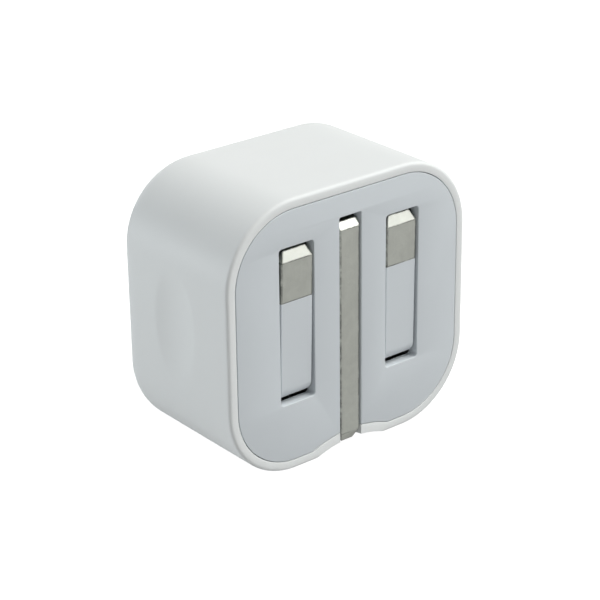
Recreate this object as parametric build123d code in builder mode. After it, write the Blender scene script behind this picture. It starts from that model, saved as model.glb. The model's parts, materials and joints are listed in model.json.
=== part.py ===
from build123d import *
import os

os.makedirs("parts", exist_ok=True)

# A folding three-pin wall charger with one USB-A outlet. Millimetres, +Z up, +X to the right
# of someone who looks at the pin face, -Y out of that face. The origin is the centre of the
# bottom of the case. The pins are folded. Depths are measured inwards from the pin face.

# ---- Case ----
case_width = 50.0
case_height = 47.2
case_depth = 30.0
corner_radius = 13.4
back_edge_radius = 4.8
front_edge_radius = 0.6
rim_width = 1.65           # edge of the shell around the face plate
wall = 2.2
back_wall = 1.7
inner_back_radius = 2.6

# ---- Face plate ----
plate_thickness = 2.0
plate_gap = 0.08
slot_width = 7.1
slot_end_gap = 0.6         # below the root of a line pin
slot_tip_gap = 0.6         # above the tip of a line pin
slot_corner_radius = 0.6
earth_slot_width = 4.6
earth_slot_top_gap = 0.67  # above the unfolded earth pin

# ---- Finger scoop under the earth pin's tip, and the grip dishes on the sides ----
scoop_width = 15.6
scoop_height = 1.6
scoop_length = 9.0
dish_length = 19.0
dish_width = 10.5
dish_sink = 0.5
dish_depth_place = 14.0
dish_height_place = 24.5

# ---- Mains pins, to the British 13 A pattern ----
line_pin_x = 11.1          # live and neutral, each side of the middle
line_pin_width = 6.35
line_pin_thickness = 4.0
line_pin_length = 17.7
line_pin_height = 14.6     # centre line when unfolded
sleeve_length = 9.05
earth_rise = 22.23         # earth above live and neutral
earth_pin_width = 4.0
earth_pin_thickness = 8.0
earth_pin_length = 22.73
line_pin_recess = 0.4      # folded live and neutral pins lie this far inside the face
earth_pin_recess = 0.2
line_pin_tilt = {"live": 1.4, "neutral": 0.6}   # degrees short of flat, from play in the slider
tip_inset = 0.85
tip_length = 1.7
root_bevel_depth = 0.75
root_bevel_height = 1.25
earth_root = 8.05          # earth pin beyond its hinge axis

# ---- Hinges ----
line_axis_offset = 0.0     # axis behind a folded line pin's inner face
earth_axis_offset = 0.5
line_shaft_radius = 1.0
earth_shaft_radius = 1.1
earth_hub_radius = 2.8
root_corner_radius = 2.2
stem_width = 4.6
stem_thickness = 1.8
stem_cover = 0.8           # sleeve over the stem's outer face
pin_edge_radius = 0.2
stem_end_sink = 0.45
running_gap = 0.05         # shaft in a bearing, all round
fixed_gap = 0.02           # piece pressed or screwed into another, all round
shaft_chamfer = 0.15
drive_pin_chamfer = 0.1
overcut = 1.0              # a cutting solid beyond the face that it cuts

# ---- Cranks and the slider that makes the three pins fold together ----
crank_throw = 3.0
crank_pin_radius = 0.75
crank_slot_gap = 0.15      # lets the slider keep an even travel
crank_hub_radius = 2.2
crank_end_radius = 1.45
crank_thickness = 1.3
slider_plate_inner = 3.0   # side plates, out from the middle
slider_plate_thickness = 1.6
slider_front = 3.6
slider_bridge = 1.55       # thickness of the part behind the earth pin
slider_bar = 1.15          # material round the slots
bridge_bottom = 14.4
bridge_top = 22.6
bridge_front_gap = 0.45    # behind the folded earth pin
notch_radius = 0.55
notch_axis_gap = 0.2       # notch's middle behind the slider's back
notch_from_top = 2.2       # upper notch below the bridge's top
moving_gap = 0.3           # beside a moving piece

# ---- Pin carrier ----
flange_thickness = 1.4
flange_width = 41.0
flange_bottom = 8.0
flange_top = 43.9
flange_corner_radius = 9.6
inner_rib_thickness = 1.15
outer_rib_thickness = 1.6
bearing_wall = 3.0         # behind a line shaft
rib_margin = 2.6           # inner and outer ribs below the slots
window_margin = 0.8        # carrier's windows beyond the slots
sweep_margin = 2.0         # carrier's window above the turning earth pin
detent_gap = 0.35
guide_bottom = 22.2
guide_top = 36.4
terminal_thickness = 1.5
terminal_height = 3.2
cover_thickness = 1.2
cover_margin = 2.6         # cover beyond the guide ribs
cover_corner_radius = 1.2
cover_screw_height = 25.4
cover_screw_grip = 4.0
cover_screw_hole = 4.5
cup_radius = 3.0
boss_radius = 1.9
boss_length = 4.0
cup_floor = 1.5
cup_x = 18.2
cup_low = 12.9
cup_high = 35.4
screw_radius = 0.65
screw_head_radius = 1.45
screw_head_height = 0.9
screw_head_round = 0.35
screw_clearance = 0.15     # hole that a screw passes through, all round
screw_end_gap = 0.4        # below a carrier screw
board_screw_end_gap = 0.2
cross_length = 1.8
cross_width = 0.3
cross_depth = 0.45
leaf_width = 3.6           # detent spring
leaf_end_gap = 1.0
bump_axis_gap = 0.25       # bump's middle behind the leaf's face
bump_clearance = 0.06

# ---- Contacts ----
spring_thickness = 0.35
contact_width = 3.2
hub_sweep_gap = 0.2
rivet_radius = 0.6
rivet_head_radius = 1.1
rivet_head_height = 0.4
foot_thickness = 0.4
foot_reach = 1.2
tab_width = 1.8
tab_length = 2.4
tab_hole_height = 1.4
wire_radius = 0.65
wire_core_radius = 0.35
wire_start = 0.6           # insulation behind the tab
wire_bare = 0.5
wire_bend = 4.0
wire_drop = 2.0            # from the tab down to the board

# ---- Circuit board ----
board_thickness = 1.2
board_back_gap = 2.5       # board to the shell's back wall
board_edge_gap = 0.8       # board to the cavity's sides
board_boss_radius = 2.1
solder_gap = 0.1
board_boss_x = 18.5
board_boss_low = 12.5
board_boss_high = 40.0
sheet_thickness = 0.3
sheet_wall_gap = 0.1
sheet_margin = 0.6

# ---- USB outlet, facing down ----
usb_depth_place = 20.4     # centre of the outlet
usb_inner_width = 12.5
usb_inner_height = 5.12
usb_sheet = 0.3
usb_length = 13.5
usb_recess = 0.8           # mouth above the bottom face
usb_hole_gap = 0.15
tongue_width = 11.1
tongue_thickness = 1.84
tongue_recess = 2.7        # tongue tip behind the mouth
tongue_back_gap = 0.55
usb_base_length = 2.2
usb_contact_pitch = (2.0, 2.5)   # inner pair, outer pair step
usb_contact_width = 1.0
usb_contact_thickness = 0.2
usb_strip_start = 0.6      # behind the tongue's tip
usb_tail_height = 1.2      # above the bottom of the outlet's base
usb_tail_width = 0.6
usb_tail_thickness = 0.3
usb_corner_radius = 0.5
usb_leg_heights = (5.0, 10.5)
usb_leg_half = 0.8
usb_leg_overlap = 0.4
usb_spring_x = 3.2
usb_spring_half = 1.0
usb_slit = 0.2
usb_spring_low = 4.2
usb_spring_high = 8.0
usb_spring_depth = 0.1     # slits reach this far into the outlet
usb_tail_window_half = 5.4
usb_tail_window_margin = 0.4
usb_block_half = 5.2
usb_block_margin = 0.6
usb_block_overlap = 1.0

# ---- Sizes that follow from those above ----
line_axis_depth = line_pin_recess + line_pin_thickness + line_axis_offset
line_axis_height = line_pin_height + line_axis_offset + line_pin_thickness / 2
earth_axis_depth = earth_pin_recess + earth_pin_thickness + earth_axis_offset
earth_axis_height = line_pin_height + earth_rise - earth_axis_offset - earth_pin_thickness / 2
line_tip = line_axis_height + line_axis_depth + line_pin_length
line_root = line_axis_height - line_axis_offset - line_pin_thickness
sleeve_top = line_axis_height + line_axis_depth + sleeve_length
earth_tip = earth_axis_height - earth_axis_depth - earth_pin_length
earth_top = earth_axis_height + earth_root
line_hub_radius = line_pin_thickness + line_axis_offset
slot_bottom = line_root - slot_end_gap
slot_top = line_tip + slot_tip_gap
earth_slot_top = earth_axis_height + earth_axis_offset + earth_pin_thickness + earth_slot_top_gap
scoop_radius = (scoop_width**2 / 4 + scoop_height**2) / (2 * scoop_height)
crank_reach = crank_throw * 2**-0.5
slider_plate_outer = slider_plate_inner + slider_plate_thickness
crank_inner_x = slider_plate_outer + moving_gap
hub_inner_x = line_pin_x - line_pin_width / 2
hub_outer_x = line_pin_x + line_pin_width / 2
inner_rib_x = hub_inner_x - moving_gap - inner_rib_thickness
outer_rib_x = hub_outer_x + moving_gap
shaft_end_x = outer_rib_x + outer_rib_thickness
flange_back = plate_thickness + flange_thickness
cup_depth = plate_thickness + boss_length + cup_floor
rib_back = line_axis_depth + line_shaft_radius + bearing_wall
bridge_front = earth_axis_depth - earth_axis_offset + bridge_front_gap
slider_back = bridge_front + slider_bridge
guide_back = slider_back + detent_gap + spring_thickness
cavity_back = case_depth - back_wall
board_back = cavity_back - board_back_gap
board_front = board_back - board_thickness
cover_back = guide_back + cover_thickness
usb_outer_width = usb_inner_width + 2 * usb_sheet
usb_outer_height = usb_inner_height + 2 * usb_sheet
usb_top = usb_recess + usb_length
hub_sweep = (line_hub_radius - root_corner_radius) * 2**0.5 + root_corner_radius
contact_depth = line_axis_depth + hub_sweep + hub_sweep_gap
SIDES = {"live": -1, "neutral": 1}


def y_at(depth):
    """Y of a place at this depth behind the pin face."""
    return depth - case_depth / 2


def face_plane(depth):
    """Plane parallel to the pin face, looking outwards: X right, Z up."""
    return Plane.XZ.offset(-y_at(depth))


def side_plane(x):
    """Plane across the case: its own X is Y inwards, its own Y is Z up."""
    return Plane.YZ.offset(x)


def level_plane(z):
    """Level plane at height z."""
    return Plane.XY.offset(z)


def save(piece, name):
    """Label a finished piece and write its STEP file."""
    piece.label = name
    export_step(piece, f"parts/{name}.step")


def span(low, high):
    """Centre and length of a stretch."""
    return (low + high) / 2, high - low


def slab(depths, x, z, mode=Mode.ADD):
    """Box between two depths, two X values and two heights, in the open part."""
    (y, y_size), (x_mid, x_size), (z_mid, z_size) = span(*depths), span(*x), span(*z)
    with Locations((x_mid, y_at(y), z_mid)):
        Box(x_size, y_size, z_size, mode=mode)


def rod(depths, x, z, radius, mode=Mode.ADD):
    """Cylinder along the depth, in the open part."""
    y, length = span(*depths)
    with Locations((x, y_at(y), z)):
        Cylinder(radius, length, rotation=(90, 0, 0), mode=mode)


def axle(x, depth, z, radius, mode=Mode.ADD):
    """Cylinder across the case, in the open part."""
    middle, length = span(*x)
    with Locations((middle, y_at(depth), z)):
        Cylinder(radius, length, rotation=(0, 90, 0), mode=mode)


def rounded_face(inset):
    """Case outline drawn inwards by an inset, in the open sketch."""
    with Locations((0, case_height / 2)):
        RectangleRounded(case_width - 2 * inset, case_height - 2 * inset, corner_radius - inset)


def scoop_circle(margin):
    """Circle of the finger scoop's arch, grown by a margin, cut from the open sketch."""
    with Locations((0, scoop_height - scoop_radius)):
        Circle(scoop_radius + margin, mode=Mode.SUBTRACT)


# ---------------- Outer shell ----------------
with BuildPart() as cavity:
    with BuildSketch(face_plane(cavity_back)):
        rounded_face(wall)
    extrude(amount=cavity_back - plate_thickness)
    fillet(cavity.faces().sort_by(Axis.Y)[-1].edges(), inner_back_radius)

with BuildPart() as plate_pocket:
    with BuildSketch(face_plane(plate_thickness)):
        rounded_face(rim_width)
        scoop_circle(rim_width)
    extrude(amount=plate_thickness)

with BuildPart() as scoop:
    slope = Plane(
        origin=(0, y_at(0), scoop_height),
        x_dir=(1, 0, 0),
        z_dir=(0, scoop_length, -scoop_height),
    )
    with BuildSketch(slope):
        with Locations((0, scoop_radius)):
            Circle(scoop_radius)
    extrude(amount=2 * scoop_length)
    extrude(scoop.faces().sort_by(Axis.Y)[0], amount=scoop_height)

dish_round = (dish_width**2 / 4 + dish_sink**2) / (2 * dish_sink)
dish_arch = (dish_length**2 / 4 + dish_sink**2) / (2 * dish_sink)


def dish(side):
    """Barrel whose side sinks into the case wall as a shallow oval."""
    axis_x = side * (case_width / 2 - dish_sink + dish_round)
    centre = Plane(
        origin=(axis_x, y_at(dish_depth_place), dish_height_place),
        x_dir=(-side, 0, 0),
        z_dir=(0, side, 0),
    )
    edge = dish_round - dish_sink
    with BuildPart() as barrel:
        with BuildSketch(centre):
            with BuildLine():
                rise = dish_length / 2
                ThreePointArc((edge, -rise), (dish_round, 0), (edge, rise))
                Polyline((edge, rise), (0, rise), (0, -rise), (edge, -rise))
            make_face()
        revolve(axis=Axis(centre.origin, (0, 0, 1)))
    return barrel.part


board_bosses = [(-board_boss_x, board_boss_low), (board_boss_x, board_boss_low), (0, board_boss_high)]

with BuildPart() as outer_shell:
    with BuildSketch(face_plane(case_depth)):
        rounded_face(0)
    extrude(amount=case_depth)
    fillet(outer_shell.faces().sort_by(Axis.Y)[-1].edges(), back_edge_radius)
    fillet(outer_shell.faces().sort_by(Axis.Y)[0].edges(), front_edge_radius)
    add(cavity.part, mode=Mode.SUBTRACT)
    add(plate_pocket.part, mode=Mode.SUBTRACT)
    add(scoop.part, mode=Mode.SUBTRACT)
    for dish_side in SIDES.values():
        add(dish(dish_side), mode=Mode.SUBTRACT)
    # notch in the bottom wall for the folded earth pin's tip
    notch_back = earth_axis_depth - earth_axis_offset + moving_gap
    notch_half = earth_slot_width / 2
    slab((-overcut, notch_back), (-notch_half, notch_half), (-overcut, 2 * wall), Mode.SUBTRACT)
    # window for the USB outlet
    usb_window_x = usb_outer_width / 2 + usb_hole_gap
    usb_window_y = usb_outer_height / 2 + usb_hole_gap
    usb_depths = (usb_depth_place - usb_window_y, usb_depth_place + usb_window_y)
    slab(usb_depths, (-usb_window_x, usb_window_x), (-overcut, wall + overcut), Mode.SUBTRACT)
    # bosses that carry the circuit board
    for boss_x, boss_z in board_bosses:
        rod((board_back, cavity_back + back_wall / 2), boss_x, boss_z, board_boss_radius)
    for boss_x, boss_z in board_bosses:
        hole_radius = screw_radius + fixed_gap
        rod((board_back - overcut, cavity_back), boss_x, boss_z, hole_radius, Mode.SUBTRACT)
save(outer_shell.part, "outer_shell")

# ---------------- Face plate ----------------
carrier_points = [(side * cup_x, z) for side in (-1, 1) for z in (cup_low, cup_high)]

with BuildPart() as face_plate:
    with BuildSketch(face_plane(plate_thickness)):
        rounded_face(rim_width + plate_gap)
        scoop_circle(rim_width + plate_gap)
        slot_middle, slot_length = span(slot_bottom, slot_top)
        with Locations((-line_pin_x, slot_middle), (line_pin_x, slot_middle)):
            RectangleRounded(slot_width, slot_length, slot_corner_radius, mode=Mode.SUBTRACT)
        with Locations((0, earth_slot_top / 2)):
            Rectangle(earth_slot_width, earth_slot_top, mode=Mode.SUBTRACT)
    extrude(amount=plate_thickness)
    for boss_x, boss_z in carrier_points:
        boss_end = plate_thickness + boss_length
        rod((plate_thickness / 2, boss_end), boss_x, boss_z, boss_radius)
        hole_radius = screw_radius + fixed_gap
        rod((plate_thickness, boss_end + overcut), boss_x, boss_z, hole_radius, Mode.SUBTRACT)
save(face_plate.part, "face_plate")


# ---------------- Live and neutral pins ----------------
def fold_tilt(part, name):
    """A line pin's piece, turned about the hinge by its tilt when folded."""
    hinge = Axis((0, y_at(line_axis_depth), line_axis_height), (1, 0, 0))
    return part.rotate(hinge, line_pin_tilt[name])


def cut_stem(middle, z, mode=Mode.ADD):
    """The thin stem inside a sleeve, added to or cut from the open part."""
    front = line_pin_recess + stem_cover
    stem_x = (middle - stem_width / 2, middle + stem_width / 2)
    slab((front, front + stem_thickness), stem_x, z, mode)


def make_line_pin(name):
    """Metal pin: bevelled head, and a thinner stem inside the sleeve."""
    middle = SIDES[name] * line_pin_x
    centre_y = y_at(line_pin_recess + line_pin_thickness / 2)
    shoulder = line_tip - tip_length
    with BuildPart() as pin:
        with BuildSketch(level_plane(sleeve_top)):
            with Locations((middle, centre_y)):
                RectangleRounded(line_pin_width, line_pin_thickness, pin_edge_radius)
        extrude(amount=shoulder - sleeve_top)
        with BuildSketch(level_plane(shoulder)) as head_base:
            with Locations((middle, centre_y)):
                RectangleRounded(line_pin_width, line_pin_thickness, pin_edge_radius)
        with BuildSketch(level_plane(line_tip)) as head_tip:
            with Locations((middle, centre_y)):
                RectangleRounded(
                    line_pin_width - 2 * tip_inset, line_pin_thickness - 2 * tip_inset, pin_edge_radius
                )
        loft([head_base.sketch, head_tip.sketch])
        cut_stem(middle, (line_root + stem_end_sink, sleeve_top))
    return fold_tilt(pin.part, name)


def make_sleeve(name):
    """Insulating sleeve and hinge hub of a line pin."""
    middle = SIDES[name] * line_pin_x
    corner_top = line_root + root_corner_radius
    corner_depth = line_pin_recess + root_corner_radius
    with BuildPart() as sleeve:
        with BuildSketch(side_plane(middle)):
            # straight sleeve above the rounded root corner
            z_mid, z_size = span(corner_top, sleeve_top)
            with Locations((y_at(line_pin_recess + line_pin_thickness / 2), z_mid)):
                Rectangle(line_pin_thickness, z_size)
            with Locations((y_at(corner_depth), corner_top)):
                Circle(root_corner_radius)
            foot_mid, foot_size = span(corner_depth, line_axis_depth)
            with Locations((y_at(foot_mid), line_root + root_corner_radius / 2)):
                Rectangle(foot_size, root_corner_radius)
            with Locations((y_at(line_axis_depth), line_axis_height)):
                Circle(line_hub_radius)
        extrude(amount=line_pin_width / 2, both=True)
        front_edges = sleeve.edges().filter_by(Axis.Z).group_by(Axis.Y)[0]
        fillet(front_edges, pin_edge_radius)
        pin_span = (middle - line_pin_width / 2, middle + line_pin_width / 2)
        hole_radius = line_shaft_radius + fixed_gap
        axle(pin_span, line_axis_depth, line_axis_height, hole_radius, Mode.SUBTRACT)
        cut_stem(middle, (line_root - overcut, sleeve_top + overcut), Mode.SUBTRACT)
    return fold_tilt(sleeve.part, name)


def make_line_shaft(side):
    """Half shaft that carries a line pin and its crank."""
    with BuildPart() as shaft:
        ends = sorted((side * crank_inner_x, side * shaft_end_x))
        axle(ends, line_axis_depth, line_axis_height, line_shaft_radius)
        chamfer(shaft.edges().filter_by(GeomType.CIRCLE), shaft_chamfer)
    return shaft.part


def make_crank(side):
    """Arm on the half shaft, with the pin that drives the slider."""
    inner, outer = sorted((side * crank_inner_x, side * (crank_inner_x + crank_thickness)))
    pin_y = y_at(line_axis_depth + crank_reach)
    pin_z = line_axis_height - crank_reach
    with BuildPart() as crank:
        with BuildSketch(side_plane(inner)):
            with Locations((y_at(line_axis_depth), line_axis_height)):
                Circle(crank_hub_radius)
            with Locations((pin_y, pin_z)):
                Circle(crank_end_radius)
            arm_y = y_at(line_axis_depth + crank_reach / 2)
            arm_z = line_axis_height - crank_reach / 2
            with Locations(Location((arm_y, arm_z, 0), (0, 0, -45))):
                Rectangle(crank_throw, 2 * crank_end_radius)
        extrude(amount=crank_thickness)
        hole_radius = line_shaft_radius + fixed_gap
        axle((inner, outer), line_axis_depth, line_axis_height, hole_radius, Mode.SUBTRACT)
        tip_x = side * slider_plate_inner
        base_x = side * crank_inner_x
        axle(sorted((tip_x, base_x)), pin_y + case_depth / 2, pin_z, crank_pin_radius)
    return crank.part


for side_name, side_sign in SIDES.items():
    save(make_line_pin(side_name), f"{side_name}_pin")
    save(make_sleeve(side_name), f"{side_name}_sleeve")
    save(make_line_shaft(side_sign), f"{side_name}_shaft")
    save(make_crank(side_sign), f"{side_name}_crank")

# ---------------- Earth pin ----------------
earth_half = earth_pin_width / 2
drive_depth = earth_axis_depth - crank_reach
drive_height = earth_axis_height - crank_reach

with BuildPart() as earth_pin:
    face_y = y_at(earth_pin_recess)
    back_y = y_at(earth_pin_recess + earth_pin_thickness)
    with BuildSketch(side_plane(-earth_half)):
        with BuildLine():
            Polyline(
                (face_y, earth_tip + tip_length),
                (face_y, earth_top - root_bevel_height),
                (face_y + root_bevel_depth, earth_top),
                (back_y, earth_top),
                (back_y, earth_tip + tip_length),
                close=True,
            )
        make_face()
        with Locations((y_at(earth_axis_depth), earth_axis_height)):
            Circle(earth_hub_radius)
    extrude(amount=earth_pin_width)
    # rounded outer edges, round the root's bevel too
    outer_edges = earth_pin.faces().group_by(Axis.Y)[0].edges().filter_by(Axis.Z)
    fillet(outer_edges, pin_edge_radius)
    middle_y = (face_y + back_y) / 2
    with BuildSketch(level_plane(earth_tip + tip_length)) as tip_base:
        with Locations((0, middle_y)):
            Rectangle(earth_pin_width, earth_pin_thickness)
    with BuildSketch(level_plane(earth_tip)) as tip_end:
        with Locations((0, middle_y)):
            Rectangle(earth_pin_width - 2 * tip_inset, earth_pin_thickness - 2 * tip_inset)
    loft([tip_base.sketch, tip_end.sketch])
    earth_x = (-earth_half, earth_half)
    shaft_hole = earth_shaft_radius + fixed_gap
    axle(earth_x, earth_axis_depth, earth_axis_height, shaft_hole, Mode.SUBTRACT)
    drive_hole = crank_pin_radius + fixed_gap
    axle(earth_x, drive_depth, drive_height, drive_hole, Mode.SUBTRACT)
save(earth_pin.part, "earth_pin")

earth_rib_x = slider_plate_outer + moving_gap
earth_shaft_end = inner_rib_x + inner_rib_thickness

with BuildPart() as earth_shaft:
    shaft_x = (-earth_shaft_end, earth_shaft_end)
    axle(shaft_x, earth_axis_depth, earth_axis_height, earth_shaft_radius)
    chamfer(earth_shaft.edges().filter_by(GeomType.CIRCLE), shaft_chamfer)
save(earth_shaft.part, "earth_shaft")

with BuildPart() as earth_drive_pin:
    drive_x = (-slider_plate_outer, slider_plate_outer)
    axle(drive_x, drive_depth, drive_height, crank_pin_radius)
    chamfer(earth_drive_pin.edges().filter_by(GeomType.CIRCLE), drive_pin_chamfer)
save(earth_drive_pin.part, "earth_drive_pin")

# ---------------- Slider ----------------
crank_slot_half = crank_pin_radius + crank_slot_gap
line_slot_height = line_axis_height - crank_reach
line_slot_front = line_axis_depth + crank_reach - crank_pin_radius - crank_slot_gap
line_slot_back = line_axis_depth + crank_throw + crank_pin_radius + crank_slot_gap
earth_slot_front = earth_axis_depth - crank_throw - crank_pin_radius - crank_slot_gap
fork_back = earth_axis_depth - earth_shaft_radius - moving_gap
fork_top = drive_height + crank_slot_half + slider_bar
foot_bottom = line_slot_height - crank_slot_half - slider_bar
foot_top = line_slot_height + crank_slot_half + slider_bar
slider_travel = 2 * crank_reach
bump_height = bridge_top - notch_from_top

with BuildPart() as sync_slider:
    for side_sign in SIDES.values():
        plate_x = sorted((side_sign * slider_plate_inner, side_sign * slider_plate_outer))
        # strip up to the fork round the earth pin's drive pin
        slab((slider_front, fork_back), plate_x, (foot_bottom, fork_top))
        # foot round the line pin's crank pin, and the leg up to the bridge
        slab((slider_front, line_slot_back + slider_bar), plate_x, (foot_bottom, foot_top))
        slab((slider_front, slider_back), plate_x, (bridge_bottom, bridge_top))
    bridge_x = (-slider_plate_outer, slider_plate_outer)
    slab((bridge_front, slider_back), bridge_x, (bridge_bottom, bridge_top))
    line_slot_z = (line_slot_height - crank_slot_half, line_slot_height + crank_slot_half)
    earth_slot_z = (drive_height - crank_slot_half, drive_height + crank_slot_half)
    for side_sign in SIDES.values():
        cut_x = sorted((side_sign * slider_plate_inner, side_sign * (slider_plate_outer + overcut)))
        slab((line_slot_front, line_slot_back), cut_x, line_slot_z, Mode.SUBTRACT)
        slab((earth_slot_front, fork_back + overcut), cut_x, earth_slot_z, Mode.SUBTRACT)
    # two notches for the detent spring, one travel apart
    for notch_z in (bump_height, bump_height - slider_travel):
        axle(bridge_x, slider_back + notch_axis_gap, notch_z, notch_radius, Mode.SUBTRACT)
save(sync_slider.part, "sync_slider")

# ---------------- Pin carrier ----------------
terminal_front = contact_depth + spring_thickness
terminal_back = terminal_front + terminal_thickness
terminal_bottom = line_axis_height + hub_sweep + moving_gap
terminal_top = terminal_bottom + terminal_height
rivet_height = (terminal_bottom + terminal_top) / 2
rib_low = slot_bottom - rib_margin
cover_screw_x = (earth_rib_x + hub_inner_x - moving_gap) / 2
cover_half = earth_rib_x + cover_margin

with BuildPart() as pin_carrier:
    with BuildSketch(face_plane(flange_back)):
        flange_z, flange_height = span(flange_bottom, flange_top)
        with Locations((0, flange_z)):
            RectangleRounded(flange_width, flange_height, flange_corner_radius)
        # windows for the line pins, the cranks and the earth pin's sweep
        window_x = (inner_rib_x + inner_rib_thickness, outer_rib_x)
        window_mid, window_width = span(*window_x)
        window_z, window_height = span(slot_bottom - window_margin, slot_top + window_margin)
        with Locations((-window_mid, window_z), (window_mid, window_z)):
            Rectangle(window_width, window_height, mode=Mode.SUBTRACT)
        crank_mid, crank_width = span(slider_plate_inner, inner_rib_x)
        crank_clear = crank_hub_radius + 2 * moving_gap
        with Locations((-crank_mid, line_axis_height), (crank_mid, line_axis_height)):
            Rectangle(crank_width, 2 * crank_clear, mode=Mode.SUBTRACT)
        earth_window_top = earth_axis_height + earth_pin_thickness + earth_axis_offset + sweep_margin
        with Locations((0, earth_window_top / 2)):
            Rectangle(earth_pin_width + 4 * moving_gap, earth_window_top, mode=Mode.SUBTRACT)
    extrude(amount=flange_thickness)
    for side_sign in SIDES.values():
        # bearing ribs each side of the line pin's hub
        inner_x = sorted((side_sign * inner_rib_x, side_sign * (inner_rib_x + inner_rib_thickness)))
        outer_x = sorted((side_sign * outer_rib_x, side_sign * shaft_end_x))
        slab((plate_thickness, rib_back), inner_x, (rib_low, guide_bottom + inner_rib_thickness))
        slab((plate_thickness, terminal_back), outer_x, (rib_low, terminal_top))
        # guide rib beside the slider, which also carries the earth shaft
        guide_x = sorted((side_sign * earth_rib_x, inner_x[0 if side_sign < 0 else 1]))
        slab((plate_thickness, guide_back), guide_x, (guide_bottom, guide_top))
        # block for the contact spring, held by the outer rib
        block_x = sorted((side_sign * (cover_half + moving_gap), side_sign * shaft_end_x))
        slab((terminal_front, terminal_back), block_x, (terminal_bottom, terminal_top))
        rod((terminal_front, terminal_back), side_sign * line_pin_x, rivet_height,
            rivet_radius + fixed_gap, Mode.SUBTRACT)
        # bearings
        bearing = line_shaft_radius + running_gap
        for bearing_x in (inner_x, outer_x):
            axle(bearing_x, line_axis_depth, line_axis_height, bearing, Mode.SUBTRACT)
        bearing = earth_shaft_radius + running_gap
        axle(guide_x, earth_axis_depth, earth_axis_height, bearing, Mode.SUBTRACT)
        hole_radius = screw_radius + fixed_gap
        rod((guide_back - cover_screw_hole, guide_back), side_sign * cover_screw_x, cover_screw_height,
            hole_radius, Mode.SUBTRACT)
    # cups that seat on the face plate's bosses
    for boss_x, boss_z in carrier_points:
        rod((plate_thickness, cup_depth), boss_x, boss_z, cup_radius)
    for boss_x, boss_z in carrier_points:
        boss_end = plate_thickness + boss_length
        rod((plate_thickness, boss_end), boss_x, boss_z, boss_radius + fixed_gap, Mode.SUBTRACT)
        rod((boss_end, cup_depth), boss_x, boss_z, screw_radius + screw_clearance, Mode.SUBTRACT)
save(pin_carrier.part, "pin_carrier")

cover_z = (foot_bottom, earth_axis_height - earth_hub_radius - moving_gap)

with BuildPart() as slider_cover:
    slab((guide_back, cover_back), (-cover_half, cover_half), cover_z)
    fillet(slider_cover.edges().filter_by(Axis.Y), cover_corner_radius)
    for side_sign in SIDES.values():
        hole_x = side_sign * cover_screw_x
        hole_radius = screw_radius + screw_clearance
        rod((guide_back, cover_back), hole_x, cover_screw_height, hole_radius, Mode.SUBTRACT)
save(slider_cover.part, "slider_cover")

with BuildPart() as detent_spring:
    leaf_depths = (guide_back - spring_thickness, guide_back)
    leaf_x = (-leaf_width / 2, leaf_width / 2)
    slab(leaf_depths, leaf_x, (cover_z[0] + leaf_end_gap, cover_z[1] - leaf_end_gap))
    bump_depth = guide_back - spring_thickness + bump_axis_gap
    bump_radius = bump_depth - slider_back - bump_clearance
    axle(leaf_x, bump_depth, bump_height, bump_radius)
    slab((guide_back, guide_back + 2 * bump_radius), (-leaf_width, leaf_width), cover_z, Mode.SUBTRACT)
save(detent_spring.part, "detent_spring")


def cut_cross(depths, x, z):
    """Cross recess in a screw's head, cut from the open part."""
    for reach_x, reach_z in ((cross_length / 2, cross_width / 2), (cross_width / 2, cross_length / 2)):
        slab(depths, (x - reach_x, x + reach_x), (z - reach_z, z + reach_z), Mode.SUBTRACT)


def screw_group(points, seat, length):
    """Pan-head screws driven towards the pin face, their heads on the seat depth."""
    with BuildPart() as screws:
        for x, z in points:
            rod((seat, seat + screw_head_height), x, z, screw_head_radius)
            rod((seat - length, seat), x, z, screw_radius)
        fillet(screws.faces().group_by(Axis.Y)[-1].edges(), screw_head_round)
        for x, z in points:
            top = seat + screw_head_height
            cut_cross((top - cross_depth, top + overcut), x, z)
    return screws.part


def board_screw_group(points):
    """Pan-head screws driven towards the back wall, their heads on the board's front."""
    with BuildPart() as screws:
        for x, z in points:
            rod((board_front - screw_head_height, board_front), x, z, screw_head_radius)
            rod((board_front, cavity_back - board_screw_end_gap), x, z, screw_radius)
        fillet(screws.faces().group_by(Axis.Y)[0].edges(), screw_head_round)
        for x, z in points:
            top = board_front - screw_head_height
            cut_cross((top - overcut, top + cross_depth), x, z)
    return screws.part


cover_points = [(side * cover_screw_x, cover_screw_height) for side in SIDES.values()]
save(screw_group(carrier_points, cup_depth, boss_length + cup_floor - screw_end_gap), "carrier_screws")
save(screw_group(cover_points, cover_back, cover_thickness + cover_screw_grip), "cover_screws")
save(board_screw_group(board_bosses), "board_screws")


# ---------------- Contacts for the unfolded pins ----------------
def make_contact(side):
    """Bronze leaf behind a line pin's hub, with a solder tab above its rivet."""
    middle = side * line_pin_x
    leaf_x = (middle - contact_width / 2, middle + contact_width / 2)
    with BuildPart() as contact:
        depths = (contact_depth, terminal_front)
        slab(depths, leaf_x, (line_root + foot_thickness, terminal_top))
        # turned-out foot
        foot = (terminal_front - spring_thickness, terminal_front + foot_reach)
        slab(foot, leaf_x, (line_root, line_root + foot_thickness))
        # solder tab
        tab_x = (middle - tab_width / 2, middle + tab_width / 2)
        slab(depths, tab_x, (terminal_top, terminal_top + tab_length))
        rod(depths, middle, rivet_height, rivet_radius + fixed_gap, Mode.SUBTRACT)
        rod(depths, middle, terminal_top + tab_hole_height, wire_core_radius + fixed_gap, Mode.SUBTRACT)
    return contact.part


for side_name, side_sign in SIDES.items():
    save(make_contact(side_sign), f"{side_name}_contact")

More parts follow.
